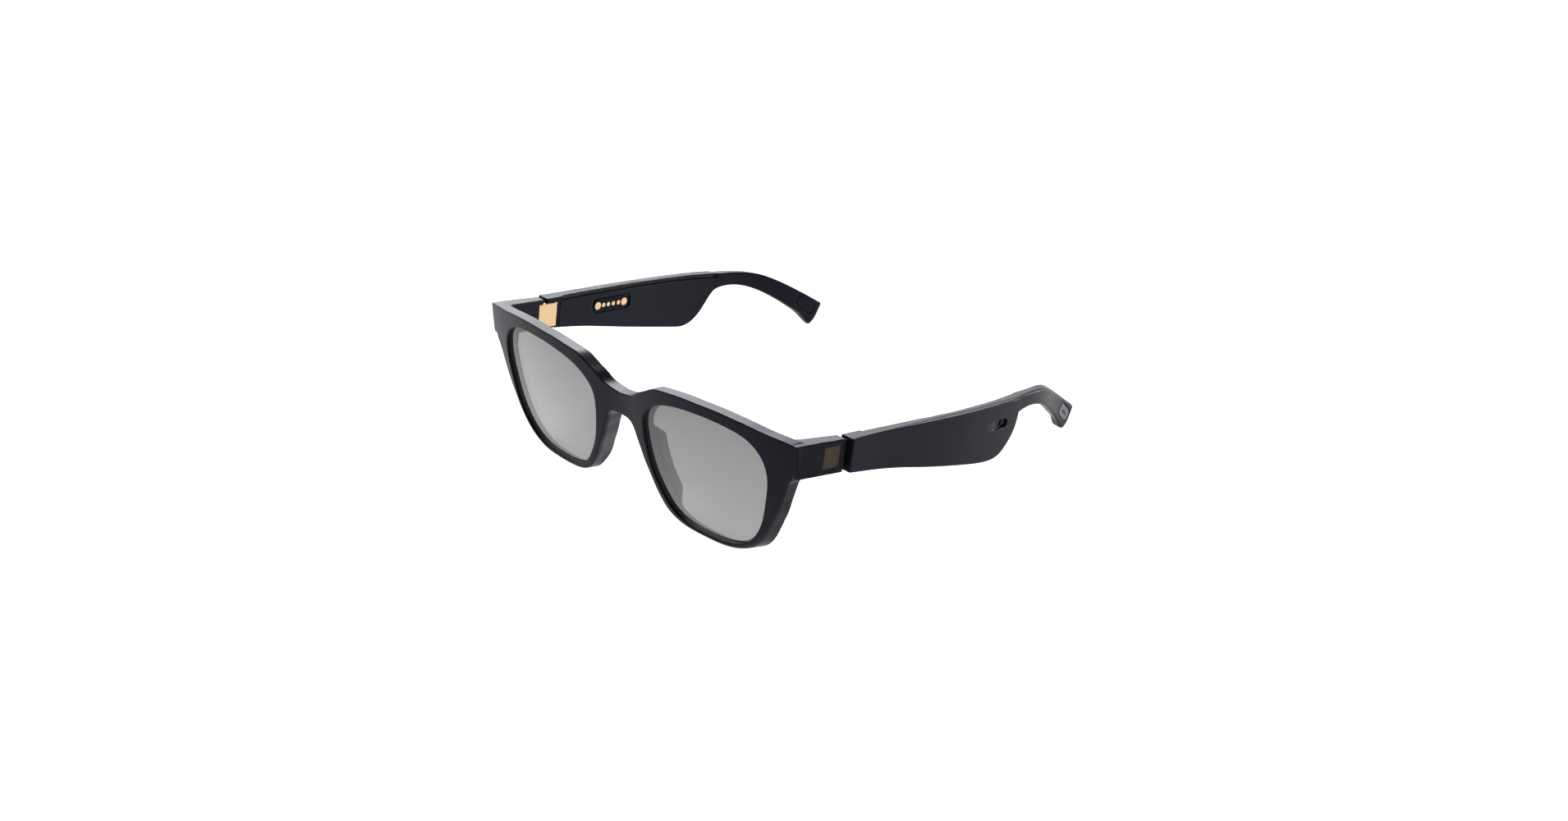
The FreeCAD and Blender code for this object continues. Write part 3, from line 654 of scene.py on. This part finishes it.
CORNERS = [(i, j, k) for i in (0, 1) for j in (0, 1) for k in (0, 1)]


def surface_net(field, low, high, step):
    """The quads of a field's zero surface, with one vertex in each cell that it passes through."""
    axes = [np.arange(a, b + step, step) for a, b in zip(low, high)]
    values = field(*np.meshgrid(*axes, indexing="ij", sparse=True))
    inside = values < 0
    cells_shape = tuple(n - 1 for n in values.shape)
    corner_count = np.zeros(cells_shape, dtype=np.uint8)
    for corner in CORNERS:
        window = tuple(slice(c, c + n) for c, n in zip(corner, cells_shape))
        corner_count += inside[window]
    mixed = (corner_count > 0) & (corner_count < 8)
    cells = np.argwhere(mixed)
    index = np.full(cells_shape, -1)
    index[mixed] = np.arange(len(cells))
    corner_values = [values[tuple((cells + corner).T)] for corner in CORNERS]
    total = np.zeros((len(cells), 3))
    crossings = np.zeros(len(cells))
    for a, corner in enumerate(CORNERS):
        for axis in range(3):
            if corner[axis]:
                continue
            b = a + (4, 2, 1)[axis]
            crosses = (corner_values[a] < 0) != (corner_values[b] < 0)
            start, end = corner_values[a][crosses], corner_values[b][crosses]
            total[crosses] += corner
            total[crosses, axis] += start / (start - end)
            crossings += crosses
    points = np.array(low) + (cells + total / crossings[:, None]) * step
    quads = []
    for axis in range(3):
        u, v = (axis + 1) % 3, (axis + 2) % 3
        near = [slice(None)] * 3
        far = [slice(None)] * 3
        near[axis], far[axis] = slice(0, -1), slice(1, None)
        edges = np.argwhere(inside[tuple(near)] != inside[tuple(far)])
        within = (edges[:, u] > 0) & (edges[:, v] > 0)
        within &= (edges[:, u] < cells_shape[u]) & (edges[:, v] < cells_shape[v])
        edges = edges[within]
        step_u, step_v = np.eye(3, dtype=int)[u], np.eye(3, dtype=int)[v]
        around = [edges - step_u - step_v, edges - step_v, edges, edges - step_u]
        ring = np.stack([index[tuple(cell.T)] for cell in around], axis=1)
        outward = inside[tuple(edges.T)]
        quads.append(ring[outward])
        quads.append(ring[~outward][:, ::-1])
    return points, np.concatenate(quads)


def gradient(field, points, reach):
    """The field's slope at the points, from central differences."""
    slopes = []
    for axis in range(3):
        offset = np.zeros(3)
        offset[axis] = reach
        slopes.append((field(*(points + offset).T) - field(*(points - offset).T)) / (2 * reach))
    return np.stack(slopes, axis=1)


def settle(field, points, step):
    """Moves points onto the zero surface, and returns them with the surface's normals."""
    for _ in range(3):
        slope = gradient(field, points, step / 8)
        size = np.maximum((slope**2).sum(axis=1), 0.05)
        move = -(field(*points.T) / size)[:, None] * slope
        length = np.linalg.norm(move, axis=1, keepdims=True)
        points = points + move * np.minimum(1, step / 2 / np.maximum(length, 1e-9))
    slope = gradient(field, points, step / 4)
    return points, slope / np.maximum(np.linalg.norm(slope, axis=1, keepdims=True), 1e-9)


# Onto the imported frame

fold_left = next(joint for joint in frame["joints"] if joint["name"] == "fold_left")
tilt = math.atan2(fold_left["axis"][1], fold_left["axis"][2])
turn = Matrix.Rotation(-tilt, 4, "X")
scale = Matrix.Scale(MM, 4)
shift = Vector(fold_left["pos_m"]) - turn @ (Vector(HINGE) * MM)
to_row = Matrix.Translation(shift) @ turn @ scale

collection = bpy.context.scene.collection


def new_piece(name, vertices, faces, normals=None, mirror=False):
    """A mesh object from points in the wearing frame."""
    vertices = np.array(vertices, dtype=float)
    faces = [list(face) for face in faces]
    if mirror:
        vertices = vertices * (-1, 1, 1)
        faces = [face[::-1] for face in faces]
        normals = None if normals is None else normals * (-1, 1, 1)
    mesh = bpy.data.meshes.new(name)
    mesh.from_pydata([to_row @ Vector(v) for v in vertices], [], faces)
    mesh.shade_smooth()
    if normals is not None:
        rotation = turn.to_3x3()
        mesh.normals_split_custom_set_from_vertices([rotation @ Vector(n) for n in normals])
    piece = bpy.data.objects.new(name, mesh)
    collection.objects.link(piece)
    return piece


def dress(piece, body, slot, material, *nodes):
    """Gives a piece its body and its material, and hides the CAD nodes that it stands for. The slot argument is
    not used.
    """
    piece.data.materials.clear()
    piece.data.materials.append(material)
    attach(piece, body)
    for node in nodes:
        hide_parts(node)


SIDES = (("left", False), ("right", True))
LEFT, RIGHT = SIDES[:1], SIDES[1:]


# Materials


def principled(name, colour, roughness, **inputs):
    """A Principled material, with its node tree and its shader."""
    material = bpy.data.materials.new(name)
    material.use_nodes = True
    shader = material.node_tree.nodes["Principled BSDF"]
    shader.inputs["Base Color"].default_value = (*colour, 1)
    shader.inputs["Roughness"].default_value = roughness
    for key, value in inputs.items():
        shader.inputs[key.replace("_", " ")].default_value = value
    return material, material.node_tree, shader


def grain(tree, shader, colour, roughness, scale, tint, spread, bump):
    """Adds fine procedural variation to the colour and the roughness, and a fine bump."""
    nodes, links = tree.nodes, tree.links
    place = nodes.new("ShaderNodeTexCoord")
    noise = nodes.new("ShaderNodeTexNoise")
    noise.inputs["Scale"].default_value = scale
    noise.inputs["Detail"].default_value = 6
    links.new(place.outputs["Object"], noise.inputs["Vector"])
    colours = nodes.new("ShaderNodeValToRGB")
    colours.color_ramp.elements[0].color = (*[c * (1 - tint) for c in colour], 1)
    colours.color_ramp.elements[1].color = (*[min(c * (1 + tint), 1) for c in colour], 1)
    links.new(noise.outputs["Fac"], colours.inputs["Fac"])
    links.new(colours.outputs["Color"], shader.inputs["Base Color"])
    rough = nodes.new("ShaderNodeMapRange")
    rough.inputs["To Min"].default_value = roughness - spread
    rough.inputs["To Max"].default_value = roughness + spread
    links.new(noise.outputs["Fac"], rough.inputs["Value"])
    links.new(rough.outputs["Result"], shader.inputs["Roughness"])
    if bump:
        fine = nodes.new("ShaderNodeTexNoise")
        fine.inputs["Scale"].default_value = scale * 12
        fine.inputs["Detail"].default_value = 3
        links.new(place.outputs["Object"], fine.inputs["Vector"])
        height = nodes.new("ShaderNodeBump")
        height.inputs["Strength"].default_value = bump
        height.inputs["Distance"].default_value = 0.00005
        links.new(fine.outputs["Fac"], height.inputs["Height"])
        links.new(height.outputs["Normal"], shader.inputs["Normal"])


def grained(name, colour, roughness, scale, tint=0.12, spread=0.05, bump=0.0, **inputs):
    """A Principled material with grain."""
    material, tree, shader = principled(name, colour, roughness, **inputs)
    grain(tree, shader, colour, roughness, scale, tint, spread, bump)
    return material


def woven(name, colour, pitch):
    """A fine square weave, with wires over darker holes; the holes' near-black colour is painted shade of the dark
    space behind them.
    """
    material, tree, shader = principled(name, colour, 0.45, Metallic=0.7)
    nodes, links = tree.nodes, tree.links
    place = nodes.new("ShaderNodeTexCoord")
    holes = nodes.new("ShaderNodeTexVoronoi")
    holes.feature = "DISTANCE_TO_EDGE"
    holes.inputs["Scale"].default_value = 1 / pitch
    holes.inputs["Randomness"].default_value = 0.0
    links.new(place.outputs["Object"], holes.inputs["Vector"])
    colours = nodes.new("ShaderNodeValToRGB")
    colours.color_ramp.elements[0].position = 0.12
    colours.color_ramp.elements[0].color = (*colour, 1)
    # The holes' near-black colour is painted shade.
    colours.color_ramp.elements[1].position = 0.3
    colours.color_ramp.elements[1].color = (0.002, 0.002, 0.003, 1)
    links.new(holes.outputs["Distance"], colours.inputs["Fac"])
    links.new(colours.outputs["Color"], shader.inputs["Base Color"])
    return material


finishes = {
    "frame": grained("blue_black_nylon", NAVY, 0.3, scale=260, bump=0.15, **SHEEN),
    "temple": grained("temple_nylon", (0.008, 0.0083, 0.013), 0.36, scale=240, bump=0.2, **SHEEN),
    # The cover is a little lighter than the shell: the same navy-black nylon plus painted light, which brightens
    # the temples' inner faces.
    "cover": grained("cover_nylon_painted_light", (0.01, 0.0103, 0.015), 0.42, scale=300, bump=0.25, **SHEEN),
    "carrier": grained("carrier_plastic", (0.004, 0.004, 0.006), 0.25, scale=300, **SHEEN),
    "badge": grained("grey_badge", (0.06, 0.064, 0.09), 0.35, scale=300, tint=0.06),
    "plug": grained("tip_plug", (0.008, 0.0083, 0.0125), 0.33, scale=260, **SHEEN),
    "gold": grained("pale_gold", (0.70, 0.49, 0.28), 0.3, scale=500, tint=0.05, Metallic=1.0),
    # The steel's near-black colour is painted shade: the hinge pin sits in shadow inside the hinge.
    "steel": grained("steel_painted_shade", (0.05, 0.05, 0.055), 0.35, scale=500, tint=0.08, Metallic=1.0),
    "foil": grained("cell_foil", (0.6, 0.6, 0.62), 0.3, scale=90, tint=0.1, Metallic=1.0),
    "board": grained("solder_mask", (0.01, 0.11, 0.05), 0.3, scale=800, tint=0.3),
    "speaker": grained("speaker_black", (0.02, 0.02, 0.022), 0.4, scale=400),
    "gasket": grained("gasket_foam", (0.015, 0.015, 0.015), 0.85, scale=900, bump=0.5),
    "flex": grained("polyimide", (0.30, 0.12, 0.02), 0.3, scale=300),
    "light": grained("milky_light_pipe", (0.62, 0.62, 0.64), 0.25, scale=500, tint=0.04),
    # The weave's dark colour is partly the mesh's own black and partly painted shade of the recessed port and
    # channel it lies in.
    "mesh": woven("black_weave_and_painted_shade", (0.012, 0.012, 0.015), 0.00035),
}
smoke = grained("smoky_nylon", NAVY, 0.2, scale=260, spread=0.02, Alpha=0.5, **SHEEN)


def tinted_lens():
    """A grey tint under a mirror coating, darker at the top. Light passes it at the front and the back."""
    material, tree, shader = principled("lens_tint", LENS_TOP, 0.04, Metallic=0.9, Alpha=0.64)
    nodes, links = tree.nodes, tree.links
    place = nodes.new("ShaderNodeTexCoord")
    split = nodes.new("ShaderNodeSeparateXYZ")
    links.new(place.outputs["Object"], split.inputs["Vector"])
    noise = nodes.new("ShaderNodeTexNoise")
    noise.inputs["Scale"].default_value = 12
    links.new(place.outputs["Object"], noise.inputs["Vector"])
    height = nodes.new("ShaderNodeMath")
    height.operation = "MULTIPLY_ADD"
    height.inputs[1].default_value = 0.004
    links.new(noise.outputs["Fac"], height.inputs[0])
    links.new(split.outputs["Z"], height.inputs[2])
    spread = nodes.new("ShaderNodeMapRange")
    spread.inputs["From Min"].default_value = LENS_HEIGHTS[0]
    spread.inputs["From Max"].default_value = LENS_HEIGHTS[1]
    links.new(height.outputs["Value"], spread.inputs["Value"])
    colours = nodes.new("ShaderNodeValToRGB")
    colours.color_ramp.elements[0].color = (*LENS_BOTTOM, 1)
    colours.color_ramp.elements[1].color = (*LENS_TOP, 1)
    links.new(spread.outputs["Result"], colours.inputs["Fac"])
    links.new(colours.outputs["Color"], shader.inputs["Base Color"])
    return material


lens_material = tinted_lens()
ground_edge = grained("ground_lens_edge", (0.02, 0.02, 0.022), 0.55, scale=400)

slot_of = {part["node"]: part["material_slot"] for part in frame["record"]["subparts"]}
for name, node in frame["nodes"].items():
    slot = slot_of[name]
    node.data.materials.clear()
    node.data.materials.append(lens_material if slot == "lens" else finishes[slot])


# Front pieces

points, quads = surface_net(frame_field, *FRONT_BOX, FRAME_STEP)
points, normals = settle(frame_field, points, FRAME_STEP)
front_piece = new_piece("frame_front", points, quads, normals)
dress(front_piece, "front", "frame", finishes["frame"], "front_frame")


def add_pair(name, body, slot, material, field, box, step, *nodes, sides=SIDES):
    """A field's mesh on the left and its mirror image on the right."""
    points, quads = surface_net(field, *box, step)
    points, normals = settle(field, points, step)
    for side, mirror in sides:
        piece = new_piece(name + "_" + side, points, quads, normals, mirror)
        dress(piece, body.format(side), slot, material, *[node + "_" + side for node in nodes])


dark, gold = finishes["frame"], finishes["gold"]
add_pair("hinge_shroud", "front", "frame", dark, shroud_field, SHROUD_BOX, SMALL_STEP)
add_pair("endpiece_window", "front", "frame", smoke, window_field, WINDOW_BOX, SMALL_STEP)
add_pair("hinge_leaf", "front", "gold", gold, hinge_block, LEAF_BOX, SMALL_STEP, "hinge_block")


def lens_points(depth, growth, rings):
    """Rings of points over a lens, from its centre to its edge."""
    centre = np.array(LENS_CENTRE)
    along = np.roll(opening_loop, -1, axis=0) - np.roll(opening_loop, 1, axis=0)
    outward = np.stack([along[:, 1], -along[:, 0]], axis=1)
    outward /= np.linalg.norm(outward, axis=1, keepdims=True)
    edge = opening_loop + outward * growth
    flat = np.concatenate([centre + (edge - centre) * part for part in rings])
    return np.stack([flat[:, 0], front_face(flat[:, 0], flat[:, 1]) + depth, flat[:, 1]], axis=1)


def lens_mesh():
    """A lens whose front and back follow the face's curve, with a bevelled edge in the groove."""
    rings = np.linspace(0.04, 1, 25)
    count = len(opening_loop)
    front = lens_points(LENS_RECESS, LENS_GROOVE - LENS_BEVEL, rings)
    edge = lens_points(LENS_RECESS + LENS_THICKNESS / 2, LENS_GROOVE - LENS_EDGE_GAP, rings[-1:])
    back = lens_points(LENS_RECESS + LENS_THICKNESS, LENS_GROOVE - LENS_BEVEL, rings[::-1])
    rows = np.concatenate([front, edge, back])
    faces = []
    for row in range(2 * len(rings)):
        for i in range(count):
            j = (i + 1) % count
            a, b = row * count, (row + 1) * count
            faces.append((a + i, b + i, b + j, a + j))
    last = (2 * len(rings)) * count
    faces.append(list(range(count)))
    faces.append(list(range(last + count - 1, last - 1, -1)))
    bevel_faces = range((len(rings) - 1) * count, (len(rings) + 1) * count)
    return rows, faces, bevel_faces


lens_rows, lens_faces, bevel_faces = lens_mesh()
for side, mirror in SIDES:
    lens = new_piece("lens_glass_" + side, lens_rows, lens_faces, mirror=mirror)
    lens.data.set_sharp_from_angle(angle=math.radians(35))
    dress(lens, "front", "lens", lens_material, "lens_" + side)
    lens.data.materials.append(ground_edge)
    for face in bevel_faces:
        lens.data.polygons[face].material_index = 1


# Temple pieces


def add_temple_pair(name, slot, finish, field, box, step, *nodes, sides=SIDES):
    """A pair of pieces that ride on the temples."""
    add_pair(name, "temple_{}", slot, finishes[finish], field, box, step, *nodes, sides=sides)


def add_housing(shell, cover, sides):
    """A temple's shell and its cover, which are not the same on the two sides."""
    housing_args = ("temple", "temple", shell, TEMPLE_BOX, TEMPLE_STEP, "temple_shell")
    cover_args = ("cover", "cover", cover, COVER_BOX, TEMPLE_STEP, "inner_cover")
    add_temple_pair("temple_housing", *housing_args, sides=sides)
    add_temple_pair("cover_panel", *cover_args, sides=sides)


add_housing(shell_field, cover_field, LEFT)
add_housing(right_shell_field, right_cover_field, RIGHT)
add_temple_pair("tip_plate", "badge", "badge", badge_field, TIP_BOX, SMALL_STEP, "tip_badge")
add_temple_pair("tip_mark", "plug", "carrier", mark_field, MARK_BOX, MARK_STEP)
add_temple_pair("tip_insert", "plug", "plug", plug_field, TIP_BOX, SMALL_STEP, "tip_plug")
add_temple_pair("channel_weave", "mesh", "mesh", channel_mesh_field, MESH_BOX, MESH_STEP, "speaker_mesh")


def soften(node, width):
    """Rounds a CAD node's edges."""
    piece = frame["nodes"][node]
    bevel = piece.modifiers.new("edges", "BEVEL")
    bevel.width = width * MM
    bevel.segments = 3
    bevel.limit_method = "ANGLE"
    bevel.harden_normals = True
    piece.data.shade_smooth()


soften("contact_carrier", 0.15)
soften("charging_contacts", 0.2)
soften("control_button", 0.2)
soften("status_light", 0.1)


# Floor, light and camera

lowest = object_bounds()[0][2]
bpy.ops.mesh.primitive_plane_add(size=FLOOR_SIZE, location=(0, 0, lowest - FLOOR_GAP))
floor = bpy.context.object
floor.name = "floor"
glow_inputs = {"Emission_Color": (1, 1, 1, 1), "Emission_Strength": FLOOR_GLOW}
floor_finish = grained("pale_floor", (0.18, 0.18, 0.18), 0.6, scale=3, tint=0.01, **glow_inputs)
floor.data.materials.append(floor_finish)

world = bpy.data.worlds.new("studio")
world.use_nodes = True
sky, sky_links = world.node_tree.nodes, world.node_tree.links
direction = sky.new("ShaderNodeTexCoord")
towards = sky.new("ShaderNodeVectorMath")
towards.operation = "DOT_PRODUCT"
towards.inputs[1].default_value = Vector(BRIGHT_SIDE).normalized()
sky_links.new(direction.outputs["Generated"], towards.inputs[0])
glow = sky.new("ShaderNodeMapRange")
glow.interpolation_type = "SMOOTHSTEP"
for key, value in zip(("From Min", "From Max", "To Min", "To Max"), (*SKY_EDGE, *SKY_STRENGTH)):
    glow.inputs[key].default_value = value
sky_links.new(towards.outputs["Value"], glow.inputs["Value"])
sky["Background"].inputs["Color"].default_value = SKY_COLOUR
sky_links.new(glow.outputs["Result"], sky["Background"].inputs["Strength"])
bpy.context.scene.world = world


def area_light(name, position, target, size, power):
    """A rectangular light that faces its target."""
    data = bpy.data.lights.new(name, "AREA")
    data.shape = "RECTANGLE"
    data.size, data.size_y = size
    data.energy = power
    light = bpy.data.objects.new(name, data)
    light.location = position
    light.rotation_euler = (Vector(target) - Vector(position)).to_track_quat("-Z", "Y").to_euler()
    collection.objects.link(light)


area_light("softbox", (-0.7, 0.45, 0.7), (0, 0, 0), (0.7, 0.5), 16)
area_light("rear", (0.35, 0.9, 0.12), (0.07, 0.1, 0.03), (0.5, 0.3), 6)

camera_data = bpy.data.cameras.new("camera")
camera_data.sensor_width = CAMERA_SENSOR
camera_data.lens = CAMERA_LENS
camera_data.clip_start = 0.01
camera = bpy.data.objects.new("camera", camera_data)
right = turn.to_3x3() @ CAMERA_RIGHT
back = -(turn.to_3x3() @ CAMERA_LOOK)
up = back.cross(right)
aim = Matrix((right, up, back)).transposed().to_4x4()
camera.matrix_world = Matrix.Translation(to_row @ CAMERA_POSITION) @ aim
collection.objects.link(camera)
bpy.context.scene.camera = camera
bpy.context.scene.view_settings.view_transform = "Standard"
